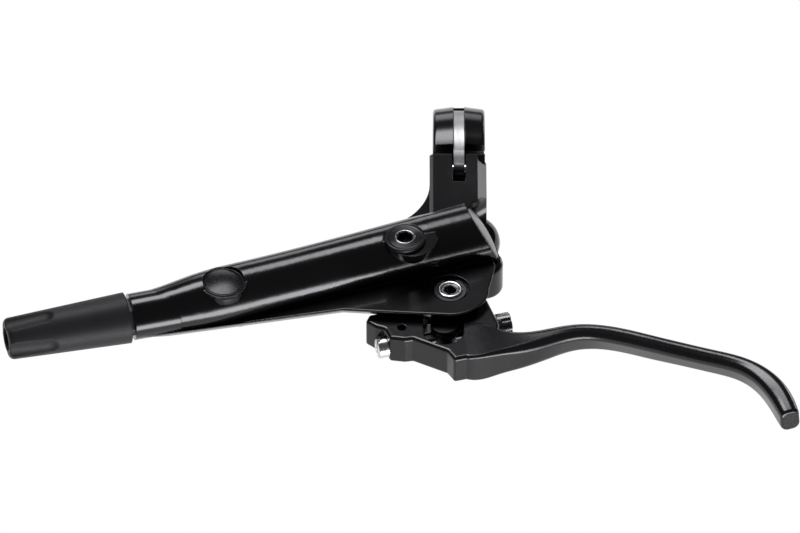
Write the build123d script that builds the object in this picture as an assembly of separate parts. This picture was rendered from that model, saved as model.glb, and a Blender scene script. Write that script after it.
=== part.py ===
"""Hydraulic disc-brake lever for a bicycle handlebar.

Millimetres. The origin is on the handlebar's axis at the middle of the clamp. +X runs along the bar towards the
blade's tip, +Y points from the lever to the bar and +Z is up, along the lever's pivot axis. The body's own frame
has its x axis along the master cylinder and its origin at the foot of the pivot on the cylinder's axis.
"""

import os
from math import atan2, cos, radians, sin, sqrt

from build123d import *

# Handlebar clamp
BAR_DIAMETER = 22.2
CLAMP_WALL = 3.6
CLAMP_WIDTH = 11.6
BAND_CROWN = 0.6
BAND_ROUND = 0.8
UPPER_SEAM = 117.6  # middle of the upper gap, from +Y towards +Z
LOWER_SEAM = -58.7
SEAM_GAP = 9.2  # degrees
LUG_REACH = 7.6
LUG_THICKNESS = 5.5
LUG_GAP = 2.2
BOLT_DIAMETER = 5.0
BOLT_HEAD_DIAMETER = 8.5
BOLT_HEAD_HEIGHT = 4.5
BOLT_HEX = 4.0
BOLT_PLAY = 0.45
WASHER_THICKNESS = 0.8
HINGE_ANGLE = 135.0
HINGE_RADIUS = 13.2
HINGE_PIN_DIAMETER = 2.0
STRAP_WIDTH = 2.4
STRAP_THICKNESS = 0.9
STRAP_SINK = 0.9  # below the band's ridges
STRAP_END = 40.0
STRAP_PLAY = 0.3
BRACKET_LEFT = -6.6
BRACKET_RIGHT = 6.1
BRACKET_OUTLINE = [(-7.8, 12.4), (-29.5, 14.2), (-31.0, 8.0), (-26.0, -4.0), (-12.0, -7.0), (-4.0, 4.0)]
BRACKET_CHAMFER = 2.0
BRACKET_EDGE = 0.8
FLARE_ARC = [(-14.5, -30.0), (-8.9, -24.6), (BRACKET_LEFT, -16.5)]
FLARE_BOTTOM = -2.0
FLARE_TOP = 11.0
SLOT_OUTLINE = [(-20.0, 15.0), (-11.4, 7.4), (-9.0, 6.4), (-3.0, 9.0), (-3.0, 20.0), (-20.0, 20.0)]

# Master cylinder
PIVOT_X = -2.1
PIVOT_Y = -45.5
BODY_ANGLE = 20.0
ARM_HEIGHT = 18.74
BORE_DIAMETER = 9.0
CYLINDER_WALL = 1.5
CYLINDER_LEFT = -45.5
CYLINDER_RIGHT = 12.4
BORE_LEFT = -43.0
SLOT_LEFT = -7.2
SLOT_RIGHT = 9.0
SLOT_BACK = 4.6
SLOT_HALF = 2.3

# Reservoir tube, each station is distance along the cylinder and radius
TUBE_SIDE = -6.0
TUBE_HEIGHT = 8.0
TUBE_STATIONS = [(-66.0, 5.1), (-63.0, 5.25), (-54.5, 6.2), (-41.6, 6.45), (3.9, 7.2), (22.0, 7.5)]
TUBE_RIGHT = 12.2
END_TILT = 24.0
CHAMBER_RADIUS = 4.4
CHAMBER_LEFT = -26.0
CAP_RADIUS = 6.8
CAP_EDGE = 0.3
CAP_CROWN = 1.0
SPIGOT_LENGTH = 3.0
BLADDER_WALL = 0.7

# Hose neck and its fitting
NECK_BEND = -5.0  # degrees from the tube
NECK_DIAMETER = 10.4
NECK_LENGTH = 4.2
HOSE_THREAD = 6.8
THREAD_DEPTH = 12.0
HOSE_BORE = 2.6
NUT_ACROSS_FLATS = 7.4
NUT_HEX_LENGTH = 6.0
SLEEVE_GAP = 1.0
SLEEVE_LENGTH = 27.3
SLEEVE_WIDE = 11.4
SLEEVE_NARROW = 9.2
SCOOP_RADIUS = 3.2
SCOOP_DEPTH = 1.3
SCOOP_LENGTH = 8.5
SCOOP_RISE = 5.0  # degrees
PASSAGE_DIAMETER = 1.8

# Ears
EAR_TOP = 6.0
EAR_THICKNESS = 2.2
EAR_RADIUS = 9.0
EAR_UNDERCUT = 38.0  # degrees
EAR_EDGE = 0.3
LOWER_EAR_RADIUS = 4.8
EAR_OUTLINE = [(-70.2, -61.8), (-25.7, -52.8), (-16.8, -53.5), (PIVOT_X, PIVOT_Y - EAR_RADIUS)]
EAR_RIGHT = [(PIVOT_X + EAR_RADIUS, PIVOT_Y), (8.3, -37.9), (6.5, -31.0), (-2.8, -32.2), (-60.0, -53.0)]
CHEEK_CIRCLES = [(5.4, -35.0, 4.3), (3.0, -27.0, 5.0)]
CHEEK_BOTTOM = -3.5
CHEEK_ROUND = 1.2
RECESS_DIAMETER = 8.6
RECESS_DEPTH = 1.0

# Bleed screw and plug: distance along the cylinder, forward of the tube's axis and height over it
BLEED_X = -7.2
BLEED_FORWARD = 3.3
BLEED_RISE = 6.5
BLEED_PAD_DIAMETER = 11.6
BLEED_PAD_SHIFT = 1.5
BLEED_HEAD_DIAMETER = 9.1
BLEED_HEAD_HEIGHT = 1.1
BLEED_THREAD = 4.0
BLEED_LENGTH = 1.4
BLEED_HEX = 3.0
O_RING_HEIGHT = 0.7
O_RING_WIDTH = 1.1
PLUG_X = -49.2
PLUG_FORWARD = 1.7
PLUG_RISE = 5.6
PLUG_PAD_DIAMETER = 10.4
PLUG_DIAMETER = 9.2
PLUG_DEPTH = 2.6
PLUG_CROWN = 0.6
PAD_DEPTH = 6.0
PAD_TAPER = 0.6
PAD_INSET = 1.0

# Piston group, along the cylinder
PISTON_LEFT = -28.5
PISTON_RIGHT = -13.0
CUP_LENGTH = 1.6
CUP_GROOVE = 1.3
STOP_WASHER = 0.8
CIRCLIP = 1.0
CIRCLIP_GROOVE = 0.6
PUSH_ROD_DIAMETER = 3.4
PUSH_ROD_SEAT = 4.0
SPRING_DIAMETER = 6.4
SPRING_WIRE = 0.8
SPRING_TURNS = 6

# Lever
LEVER_SWING = 20.0
AXLE_DIAMETER = 5.6
AXLE_HEAD_DIAMETER = 7.8
AXLE_HEAD = 1.2
AXLE_HEX = 2.5
BUSH_WALL = 0.8
NOSE_RADIUS = 2.0
LINK_HALF = 2.0
LINK_HUB_RADIUS = 4.8
PLATE_THICKNESS = 1.4
KNUCKLE_RADIUS = 6.5
ROOT_OUTLINE = [
    (6.0, -46.0), (8.8, -54.4), (8.4, -58.0), (4.2, -64.6), (-1.2, -66.1), (-2.8, -63.4),
    (-7.7, -60.8), (-10.3, -59.4), (-12.1, -59.7), (-15.4, -59.2), (-16.6, -56.2), (-18.6, -55.4), (-20.8, -53.6),
    (-20.0, -51.4), (-8.0, -48.0),
]
ROOT_CORNER = 0.7
ROOT_EDGE = 0.8
TIP_ROUND = 0.7
WINDOW_SIDE = -0.3
WINDOW_FORWARD = 1.7
WINDOW_SIZE = (9.0, 12.0)
WINDOW_CORNER = 4.2
LIGHT_HOLE = (-12.8, -55.8)
BLADE_STATIONS = [
    (1.0, -60.6, 3.58, 4.85, 0.0, 0.8), (8.6, -59.6, 3.57, 4.2, 0.0, 1.0), (13.0, -59.3, 3.5, 3.1, 1.0, 1.5),
    (19.0, -57.4, 3.5, 2.4, 8.0, 1.8), (25.7, -55.1, 3.5, 2.0, 18.0, 1.6), (32.3, -55.2, 3.5, 1.95, 25.0, 1.5),
    (42.3, -58.3, 3.4, 1.95, 25.0, 1.5), (49.0, -60.6, 3.2, 1.95, 25.0, 1.5), (55.7, -62.9, 3.2, 1.95, 25.0, 1.5),
    (62.3, -65.6, 3.3, 2.0, 22.0, 1.6), (66.6, -69.3, 3.35, 2.25, 16.0, 1.7), (69.7, -74.2, 3.35, 2.5, 10.0, 1.8),
    (71.6, -79.2, 3.2, 2.4, 6.0, 1.8), (72.5, -82.2, 2.8, 2.1, 4.0, 1.6),
]  # x, y, half height, half depth, lean in degrees and corner radius

# Reach adjustment
BARREL_SIDE = -1.2
BARREL_FORWARD = 8.1
BARREL_FLANGE = 6.4
BARREL_SHANK = 5.2
BARREL_FLANGE_HEIGHT = 0.8
FRONT_ARM_LOW = 0.8
SCREW_HEIGHT = -0.8
SCREW_ANGLE = 16.0
SCREW_DIAMETER = 2.5
SCREW_HEAD_DIAMETER = 4.6
SCREW_HEAD_LENGTH = 2.4
SCREW_SEAT = -13.2
SCREW_STAR = 12.0
STAR_DIAMETER = 5.0
STAR_LENGTH = 3.0
STAR_TEETH = 6

# Clearances
RUNNING = 0.04
FIT = 0.03
SIDE_PLAY = 0.2
CONTACT = 0.03
THREAD_PLAY = 0.3
FREE = 0.35
SWING_PLAY = 0.25

# Worked-out sizes
BAR_RADIUS = BAR_DIAMETER / 2
CLAMP_RADIUS = BAR_RADIUS + CLAMP_WALL
BORE_RADIUS = BORE_DIAMETER / 2
EAR_BOTTOM = EAR_TOP - EAR_THICKNESS
LEVER_HALF = EAR_BOTTOM - SIDE_PLAY
PLATE_INNER = LEVER_HALF - PLATE_THICKNESS
AXLE_RADIUS = AXLE_DIAMETER / 2
BUSH_RADIUS = AXLE_RADIUS + BUSH_WALL
NOSE_X = ARM_HEIGHT * sin(radians(LEVER_SWING / 2)) / cos(radians(LEVER_SWING / 2))
ROD_END = NOSE_X - NOSE_RADIUS - CONTACT
BODY = Location(
    (
        PIVOT_X - ARM_HEIGHT * sin(radians(BODY_ANGLE)),
        PIVOT_Y + ARM_HEIGHT * cos(radians(BODY_ANGLE)),
        0,
    ),
    (0, 0, BODY_ANGLE),
)
NECK = BODY * Location((TUBE_STATIONS[0][0], TUBE_SIDE, TUBE_HEIGHT), (0, 0, NECK_BEND))
BARREL_X = PIVOT_X + BARREL_SIDE
BARREL_Y = PIVOT_Y - BARREL_FORWARD
SCREW = Location((BARREL_X, BARREL_Y, SCREW_HEIGHT), (0, 0, SCREW_ANGLE))
LUG = Plane(
    origin=(0, 0, 0),
    x_dir=(0, cos(radians(LOWER_SEAM)), sin(radians(LOWER_SEAM))),
    z_dir=(1, 0, 0),
)
BOLT_RADIUS_AT = CLAMP_RADIUS + LUG_REACH / 2 - 0.4
SLEEVE_START = -NECK_LENGTH - SLEEVE_GAP


def polar(radius, angle):
    """Point at a radius and an angle in degrees."""
    return (radius * cos(radians(angle)), radius * sin(radians(angle)))


def rod(x0, x1, radius, y=0.0, z=0.0):
    """Cylinder along x."""
    return Pos((x0 + x1) / 2, y, z) * Rot(0, 90, 0) * Cylinder(radius, x1 - x0)


def collar(x0, x1, outer, inner):
    """Ring round the x axis."""
    return rod(x0, x1, outer) - rod(x0 - 1, x1 + 1, inner)


def post(x, y, z0, z1, radius):
    """Upright cylinder."""
    return Pos(x, y, (z0 + z1) / 2) * Cylinder(radius, z1 - z0)


def pivot_post(z0, z1, radius):
    """Upright cylinder on the lever's pivot."""
    return post(PIVOT_X, PIVOT_Y, z0, z1, radius)


def pivot_ring(z0, z1, outer, inner):
    """Upright ring on the lever's pivot."""
    return pivot_post(z0, z1, outer) - pivot_post(z0 - 1, z1 + 1, inner)


def slab(points, z0, z1):
    """Plate with straight edges between plan points."""
    return extrude(Pos(0, 0, z0) * make_face(Polyline(*points, close=True)), z1 - z0)


def hull_slab(circles, z0, z1):
    """Plate whose outline is stretched round circles, each x, y and radius."""
    edges = [edge for x, y, r in circles for edge in (Pos(x, y) * Circle(r)).edges()]
    return extrude(Pos(0, 0, z0) * make_hull(edges), z1 - z0)


def side_slab(points, x0, x1):
    """Plate across the handlebar with straight edges between points in Y and Z."""
    face = Plane.YZ * make_face(Polyline(*points, close=True))
    return extrude(Pos(x0, 0, 0) * face, x1 - x0)


def sector(inner, outer, start, end, width):
    """Part of a ring round the handlebar, angles from +Y towards +Z."""
    lines = [
        CenterArc((0, 0), outer, start, end - start),
        Line(polar(outer, end), polar(inner, end)),
        CenterArc((0, 0), inner, start, end - start),
        Line(polar(inner, start), polar(outer, start)),
    ]
    return extrude(Plane.YZ * make_face(lines), width / 2, both=True)


def across(x, radius, y=0.0, z=0.0):
    """Round section standing across x."""
    return Plane(origin=(x, y, z), x_dir=(0, 1, 0), z_dir=(1, 0, 0)) * Circle(radius)


def end_plane():
    """Slanted plane of the reservoir's right end."""
    tilt = radians(END_TILT)
    return Plane(
        origin=(TUBE_RIGHT, TUBE_SIDE, TUBE_HEIGHT), x_dir=(0, 1, 0), z_dir=(cos(tilt), 0, sin(tilt))
    )


def beyond(plane, size=160.0):
    """Everything on a plane's outer side."""
    return plane * Pos(0, 0, size / 2) * Box(size, size, size)


def on_tube(x, forward, rise):
    """Place above the tube's axis, forward of it and at a height over it."""
    return Pos(x, TUBE_SIDE - forward, TUBE_HEIGHT + rise)


def pad(place, radius, shift=0.0):
    """Round pad that narrows down into the tube's wall."""
    top = Pos(shift, 0, 0) * Circle(radius)
    foot = Pos(shift, PAD_INSET, -PAD_DEPTH) * Circle(radius * PAD_TAPER)
    return place * loft([foot, top])


def dome(radius, edge, crown):
    """Disc with a straight edge and a crowned top, standing on the local origin."""
    ball = (radius**2 + crown**2) / (2 * crown)
    return upright(0, edge + crown, radius) & Pos(0, 0, edge + crown - ball) * Sphere(ball)


def upright(z0, z1, radius):
    """Cylinder on the local z axis."""
    return post(0, 0, z0, z1, radius)


def hex_socket(across_flats, depth):
    """Hexagon socket cut downwards from the local origin."""
    return extrude(RegularPolygon(across_flats / sqrt(3), 6), -depth)


def chamber(shrink=0.0):
    """Reservoir space, through the tube's right end."""
    return rod(
        CHAMBER_LEFT + shrink, TUBE_RIGHT + 12, CHAMBER_RADIUS - shrink, TUBE_SIDE, TUBE_HEIGHT
    )


def tube():
    """Outside of the reservoir tube with its slanted end."""
    left = TUBE_STATIONS[0][0]
    right = TUBE_STATIONS[-1][0]
    edges = [Spline(*TUBE_STATIONS), Line(TUBE_STATIONS[-1], (right, 0)), Line((right, 0), (left, 0))]
    edges.append(Line((left, 0), TUBE_STATIONS[0]))
    whole = revolve(make_face(edges), Axis.X)
    return Pos(0, TUBE_SIDE, TUBE_HEIGHT) * whole - beyond(end_plane())


def ears():
    """Upper ear with its long fin, lower ear and the right cheek, in the part's frame."""
    outline = make_face(Polyline(*EAR_OUTLINE, *EAR_RIGHT, close=True))
    outline += Pos(PIVOT_X, PIVOT_Y) * Circle(EAR_RADIUS)
    upper = extrude(Pos(0, 0, EAR_TOP) * outline, -EAR_THICKNESS, taper=EAR_UNDERCUT)
    upper = fillet(upper.edges().group_by(Axis.Z)[-1], EAR_EDGE)
    lower = hull_slab(
        [(0, -ARM_HEIGHT, LOWER_EAR_RADIUS), (SLOT_LEFT - 4, 0, 4), (CYLINDER_RIGHT - 4, 0, 4)],
        -EAR_TOP,
        -EAR_BOTTOM,
    )
    cheek = hull_slab(CHEEK_CIRCLES, CHEEK_BOTTOM, EAR_BOTTOM + 1)
    cheek = fillet(cheek.edges().group_by(Axis.Z)[-1] + cheek.edges().group_by(Axis.Z)[0], CHEEK_ROUND)
    return upper + BODY * lower + cheek


def bracket():
    """Arm from the clamp to the body, chamfered at its right and flared at its left."""
    profile = make_face(Polyline(*BRACKET_OUTLINE, close=True))
    arm = extrude(Pos(BRACKET_LEFT, 0, 0) * (Plane.YZ * profile), BRACKET_RIGHT - BRACKET_LEFT)
    top = arm.faces().sort_by(Axis.Z)[-1]
    arm = chamfer(top.edges().sort_by(Axis.X)[-1], BRACKET_CHAMFER)
    top = arm.faces().sort_by(Axis.Z)[-1]
    arm = chamfer(top.edges().sort_by(Axis.X)[0], BRACKET_EDGE)
    foot = (0.0, FLARE_ARC[0][1])
    edges = [ThreePointArc(*FLARE_ARC), Line(FLARE_ARC[-1], (0.0, FLARE_ARC[-1][1]))]
    edges += [Line((0.0, FLARE_ARC[-1][1]), foot), Line(foot, FLARE_ARC[0])]
    arm += extrude(Pos(0, 0, FLARE_BOTTOM) * make_face(edges), FLARE_TOP - FLARE_BOTTOM)
    return arm - Rot(0, 90, 0) * Cylinder(CLAMP_RADIUS - CLAMP_WALL / 4, 80)


def fixed_clamp():
    """Fixed clamp half, the bracket to the body and the lower lug."""
    upper_end = UPPER_SEAM + SEAM_GAP / 2
    lower_end = LOWER_SEAM + 360 - SEAM_GAP / 2
    half = sector(BAR_RADIUS, CLAMP_RADIUS, upper_end, lower_end, CLAMP_WIDTH)
    opening = sector(0.5, 40, LOWER_SEAM - SEAM_GAP / 2, upper_end, 60)
    casting = half + bracket() + lug(-1) - opening - Rot(0, 90, 0) * Cylinder(BAR_RADIUS, 80)
    hole = lug_hole(BOLT_DIAMETER / 2 + BOLT_PLAY, -30, 0)
    slot_half = STRAP_WIDTH / 2 + STRAP_PLAY
    pin = hinge_rod(HINGE_PIN_DIAMETER / 2 + FIT, CLAMP_WIDTH + 10)
    return casting - hole - side_slab(SLOT_OUTLINE, -slot_half, slot_half) - pin


def lug(side):
    """Clamp lug at the lower seam, on the band's side (1) or the fixed side (-1)."""
    start = CLAMP_RADIUS - 2.2
    length = CLAMP_RADIUS + LUG_REACH - start
    block = Pos(start + length / 2, side * (LUG_GAP + LUG_THICKNESS) / 2) * Box(
        length, LUG_THICKNESS, CLAMP_WIDTH
    )
    return LUG * fillet(block.edges().filter_by(Axis.Y).group_by(Axis.X)[-1], 3.0)


def lug_hole(radius, y0, y1):
    """Cylinder on the clamp bolt's axis, from y0 to y1 across the lower seam."""
    return LUG * Pos(BOLT_RADIUS_AT, (y0 + y1) / 2) * Rot(90, 0, 0) * Cylinder(radius, y1 - y0)


def hinge_rod(radius, length):
    """Cylinder on the clamp's hinge."""
    y, z = polar(HINGE_RADIUS, HINGE_ANGLE)
    return Pos(0, y, z) * Rot(0, 90, 0) * Cylinder(radius, length)


def master_cylinder_body():
    """Cast body with reservoir tube, cylinder, neck, ears and fixed clamp half."""
    cylinder = rod(CYLINDER_LEFT, CYLINDER_RIGHT, BORE_RADIUS + CYLINDER_WALL)
    cylinder = fillet(cylinder.edges().group_by(Axis.X)[0], 1.6)
    cylinder += Pos(CYLINDER_RIGHT, 0, 0) * Sphere(BORE_RADIUS + CYLINDER_WALL)
    pads = pad(BLEED, BLEED_PAD_DIAMETER / 2, BLEED_PAD_SHIFT) + pad(PLUG, PLUG_PAD_DIAMETER / 2)
    casting = BODY * (tube() + cylinder + pads)
    casting += NECK * rod(-NECK_LENGTH, 6, NECK_DIAMETER / 2)
    casting += ears()
    casting += fixed_clamp()
    slot = Pos((SLOT_LEFT + SLOT_RIGHT) / 2, SLOT_BACK, 0) * Box(
        SLOT_RIGHT - SLOT_LEFT, 60, 2 * SLOT_HALF, align=(Align.CENTER, Align.MAX, Align.CENTER)
    )
    cap_seat = Cylinder(CAP_RADIUS + FIT, 8, align=(Align.CENTER, Align.CENTER, Align.MIN))
    holes = slot + end_plane() * cap_seat + chamber() + rod(BORE_LEFT, SLOT_LEFT + 1, BORE_RADIUS)
    holes += collar(PISTON_RIGHT + STOP_WASHER, PISTON_RIGHT + STOP_WASHER + CIRCLIP, BORE_RADIUS + CIRCLIP_GROOVE, 1)
    holes += post(PISTON_LEFT - 3, -2, 0, TUBE_HEIGHT, PASSAGE_DIAMETER / 2)
    holes += BLEED * (upright(-6, 4, BLEED_THREAD / 2 + FIT) + upright(0, 6, BLEED_HEAD_DIAMETER / 2 + FREE))
    holes += PLUG * upright(-PLUG_DEPTH, 6, PLUG_DIAMETER / 2 + FIT)
    casting -= BODY * holes
    casting -= NECK * rod(-20, THREAD_DEPTH - NECK_LENGTH, HOSE_THREAD / 2 + FIT)
    start = (NECK * Pos(THREAD_DEPTH - NECK_LENGTH - 1, 0, 0)).position
    end = (BODY * Pos(BORE_LEFT + 1, 0, 0)).position
    drill = Plane(origin=start, z_dir=end - start)
    casting -= drill * Pos(0, 0, (end - start).length / 2) * Cylinder(PASSAGE_DIAMETER / 2, (end - start).length)
    casting -= pivot_post(-3 * EAR_TOP, 3 * EAR_TOP, AXLE_RADIUS + FIT)
    casting -= pivot_post(EAR_TOP - RECESS_DEPTH, EAR_TOP + 2, RECESS_DIAMETER / 2)
    return casting


def reservoir_end_cap():
    """Slanted cap with a spigot that holds the bladder's mouth."""
    plate = dome(CAP_RADIUS, CAP_EDGE, CAP_CROWN)
    spigot = chamber(BLADDER_WALL + 2 * FIT) - beyond(end_plane())
    inner = end_plane().offset(-SPIGOT_LENGTH)
    spigot &= beyond(inner)
    return BODY * (end_plane() * plate + spigot)


def reservoir_bladder():
    """Rubber bladder that lines the reservoir."""
    return BODY * (chamber(FIT) - chamber(FIT + BLADDER_WALL) - beyond(end_plane()))


def bleed_screw():
    """Bleed screw with a hexagon socket."""
    head = upright(0, BLEED_HEAD_HEIGHT, BLEED_HEAD_DIAMETER / 2)
    head = fillet(head.edges().group_by(Axis.Z)[-1], 0.45)
    screw = head + upright(-BLEED_LENGTH, 0, BLEED_THREAD / 2)
    screw -= collar_z(-0.01, O_RING_HEIGHT, BLEED_THREAD / 2 + O_RING_WIDTH, BLEED_THREAD / 2)
    return BODY * BLEED * (screw - Pos(0, 0, BLEED_HEAD_HEIGHT) * hex_socket(BLEED_HEX, 1.8))


def collar_z(z0, z1, outer, inner):
    """Upright ring on the local z axis."""
    return upright(z0, z1, outer) - upright(z0 - 1, z1 + 1, inner)


def bleed_o_ring():
    """Seal in the groove under the bleed screw's head."""
    outer = BLEED_THREAD / 2 + O_RING_WIDTH - FIT
    return BODY * BLEED * collar_z(FIT, O_RING_HEIGHT - FIT, outer, BLEED_THREAD / 2 + FIT)


def reservoir_plug():
    """Domed plug in its seat on the tube."""
    return BODY * PLUG * Pos(0, 0, -PLUG_DEPTH) * dome(PLUG_DIAMETER / 2, PLUG_DEPTH, PLUG_CROWN)


def hose_sleeve():
    """Tapered rubber sleeve with four scoops at its end, hollow for the nut and the hose."""
    end = SLEEVE_START - SLEEVE_LENGTH
    sections = [across(SLEEVE_START, SLEEVE_WIDE / 2), across(end, SLEEVE_NARROW / 2)]
    sleeve = loft(sections)
    sleeve = fillet(sleeve.edges().group_by(Axis.X)[0], 1.2)
    scoop = rod(-SCOOP_LENGTH, SCOOP_LENGTH, SCOOP_RADIUS) + Pos(SCOOP_LENGTH, 0, 0) * Sphere(SCOOP_RADIUS)
    scoop = Pos(end, 0, SLEEVE_NARROW / 2 - SCOOP_DEPTH + SCOOP_RADIUS) * Rot(0, -SCOOP_RISE, 0) * scoop
    for turn in (0, 90, 180, 270):
        sleeve -= Rot(turn, 0, 0) * scoop
    nut_end = SLEEVE_START - NUT_HEX_LENGTH - 0.5
    sleeve -= rod(nut_end, SLEEVE_START + 1, NUT_ACROSS_FLATS / sqrt(3) + FIT)
    return NECK * (sleeve - rod(end - 1, SLEEVE_START, HOSE_BORE))


def hose_nut():
    """Hexagon nut screwed into the neck, bored for the hose."""
    hexagon = Plane(origin=(-NECK_LENGTH - FIT, 0, 0), x_dir=(0, 1, 0), z_dir=(-1, 0, 0)) * RegularPolygon(
        NUT_ACROSS_FLATS / sqrt(3), 6
    )
    head = extrude(hexagon, NUT_HEX_LENGTH + SLEEVE_GAP)
    thread = rod(-NECK_LENGTH - FIT, 3.0, HOSE_THREAD / 2)
    return NECK * (head + thread - rod(-40, 10, HOSE_BORE))


def hose_olive():
    """Brass olive between the nut and the bottom of the port."""
    olive = collar(3.0 + FIT, 6.5, HOSE_THREAD / 2 - 0.1, HOSE_BORE - 0.4)
    return NECK * fillet(olive.edges().group_by(Axis.X)[-1].sort_by(SortBy.LENGTH)[-1], 0.7)


def lever_axle():
    """Axle through both ears, headed below and with a groove for its clip."""
    top = EAR_TOP - 0.1
    shaft = pivot_post(-EAR_TOP - AXLE_HEAD, top, AXLE_RADIUS)
    shaft = chamfer(shaft.edges().group_by(Axis.Z)[-1], 0.35)
    shaft += pivot_post(-EAR_TOP - AXLE_HEAD, -EAR_TOP, AXLE_HEAD_DIAMETER / 2)
    shaft -= pivot_ring(top - 0.9, top - 0.45, AXLE_RADIUS + 1, AXLE_RADIUS - 0.35)
    return shaft - Pos(PIVOT_X, PIVOT_Y, top) * hex_socket(AXLE_HEX, 2.2)


def axle_clip():
    """Open clip in the axle's groove."""
    low = EAR_TOP - RECESS_DEPTH
    clip = pivot_ring(low, low + 0.42, RECESS_DIAMETER / 2 - 0.7, AXLE_RADIUS - 0.33)
    mouth = Pos(PIVOT_X, PIVOT_Y + 4, low) * Box(2.4, 8, 4)
    return clip - mouth


def piston_circlip():
    """Open circlip at the cylinder's mouth."""
    x = PISTON_RIGHT + STOP_WASHER
    clip = collar(x + FIT, x + CIRCLIP - FIT, BORE_RADIUS + CIRCLIP_GROOVE - FIT, BORE_RADIUS - 0.9)
    return BODY * (clip - Pos(x, 0, -5) * Box(6, 3, 6))


def piston_stop_washer():
    """Washer between the piston and the circlip."""
    x = PISTON_RIGHT + CONTACT
    return BODY * collar(x, PISTON_RIGHT + STOP_WASHER, BORE_RADIUS - FIT, PUSH_ROD_DIAMETER / 2 + FREE)


def return_spring():
    """Coil that pushes the piston back."""
    x0 = BORE_LEFT + SPRING_WIRE / 2 + FIT
    length = PISTON_LEFT - BORE_LEFT - SPRING_WIRE - 2 * FIT
    path = Helix(length / SPRING_TURNS, length, SPRING_DIAMETER / 2)
    start = Plane(origin=path @ 0, z_dir=path % 0)
    coil = sweep(start * Circle(SPRING_WIRE / 2), path)
    return BODY * Pos(x0, 0, 0) * Rot(0, 90, 0) * coil


def piston():
    """Piston with two cup grooves and a socket for the push rod."""
    body = rod(PISTON_LEFT, PISTON_RIGHT, BORE_RADIUS - RUNNING)
    body = chamfer(body.edges().group_by(Axis.X)[0], 0.5)
    for x in (PISTON_LEFT + 2, PISTON_RIGHT - 2 - CUP_LENGTH):
        body -= collar(x, x + CUP_LENGTH, BORE_RADIUS, BORE_RADIUS - CUP_GROOVE)
    return BODY * (body - rod(PISTON_RIGHT - PUSH_ROD_SEAT, PISTON_RIGHT + 1, PUSH_ROD_DIAMETER / 2 + FIT))


def cup(x):
    """Rubber cup in one of the piston's grooves."""
    return BODY * collar(x + FIT, x + CUP_LENGTH - FIT, BORE_RADIUS - RUNNING / 2, BORE_RADIUS - CUP_GROOVE + FIT)


def primary_cup():
    """Pressure cup at the piston's front."""
    return cup(PISTON_LEFT + 2)


def secondary_cup():
    """Cup at the piston's back."""
    return cup(PISTON_RIGHT - 2 - CUP_LENGTH)


def push_rod():
    """Rod between the link's nose and the piston."""
    shaft = rod(PISTON_RIGHT - PUSH_ROD_SEAT + FIT, ROD_END, PUSH_ROD_DIAMETER / 2)
    return BODY * chamfer(shaft.edges().group_by(Axis.X)[-1], 0.3)


def push_link():
    """Link with a hub on the axle, an arm to the push rod and a front arm to the barrel nut."""
    hub = (0, -ARM_HEIGHT, LINK_HUB_RADIUS)
    rear = hull_slab([hub, (NOSE_X, 0, NOSE_RADIUS / 2)], -LINK_HALF, LINK_HALF)
    rear = BODY * (rear + post(NOSE_X, 0, -LINK_HALF, LINK_HALF, NOSE_RADIUS))
    front = hull_slab(
        [(PIVOT_X, PIVOT_Y, LINK_HUB_RADIUS - 0.6), (BARREL_X, BARREL_Y, BARREL_FLANGE / 2)],
        FRONT_ARM_LOW,
        LINK_HALF,
    )
    link = rear + front - pivot_post(-9, 9, BUSH_RADIUS + FIT)
    link -= SCREW * rod(-20, 20, SCREW_DIAMETER / 2 + FREE)
    return link - post(BARREL_X, BARREL_Y, -9, 9, BARREL_SHANK / 2 + FIT)


def link_bush():
    """Plain bush in the link's hub."""
    return pivot_ring(-LINK_HALF, LINK_HALF, BUSH_RADIUS, AXLE_RADIUS + RUNNING)


def reach_barrel_nut():
    """Flanged barrel nut that hangs in the link's front arm."""
    nut = post(BARREL_X, BARREL_Y, LINK_HALF, LINK_HALF + BARREL_FLANGE_HEIGHT, BARREL_FLANGE / 2)
    nut = chamfer(nut.edges().group_by(Axis.Z)[-1], 0.25)
    nut += post(BARREL_X, BARREL_Y, -2.9, LINK_HALF, BARREL_SHANK / 2)
    return nut - SCREW * rod(-20, 20, SCREW_DIAMETER / 2 + THREAD_PLAY)


def blade_section(index):
    """Rounded section of the blade at one station, leaning forwards at its top."""
    x, y, height, depth, lean, corner = BLADE_STATIONS[index]
    before = BLADE_STATIONS[max(index - 1, 0)]
    after = BLADE_STATIONS[min(index + 1, len(BLADE_STATIONS) - 1)]
    heading = atan2(after[1] - before[1], after[0] - before[0])
    plane = Plane(
        origin=(x, y, 0), x_dir=(-sin(heading), cos(heading), 0), z_dir=(cos(heading), sin(heading), 0)
    )
    return plane * Rot(0, 0, lean) * RectangleRounded(2 * depth, 2 * height, corner)


def lower_window():
    """Opening in the lower plate, straight across below the barrel nut."""
    outline = Rectangle(WINDOW_SIZE[0], WINDOW_SIZE[0], align=(Align.CENTER, Align.MIN))
    place = BODY.inverse() * Pos(BARREL_X + WINDOW_SIDE, BARREL_Y, 0)
    return Pos(place.position.X, place.position.Y - BARREL_SHANK / 2 - FREE) * outline


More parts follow.
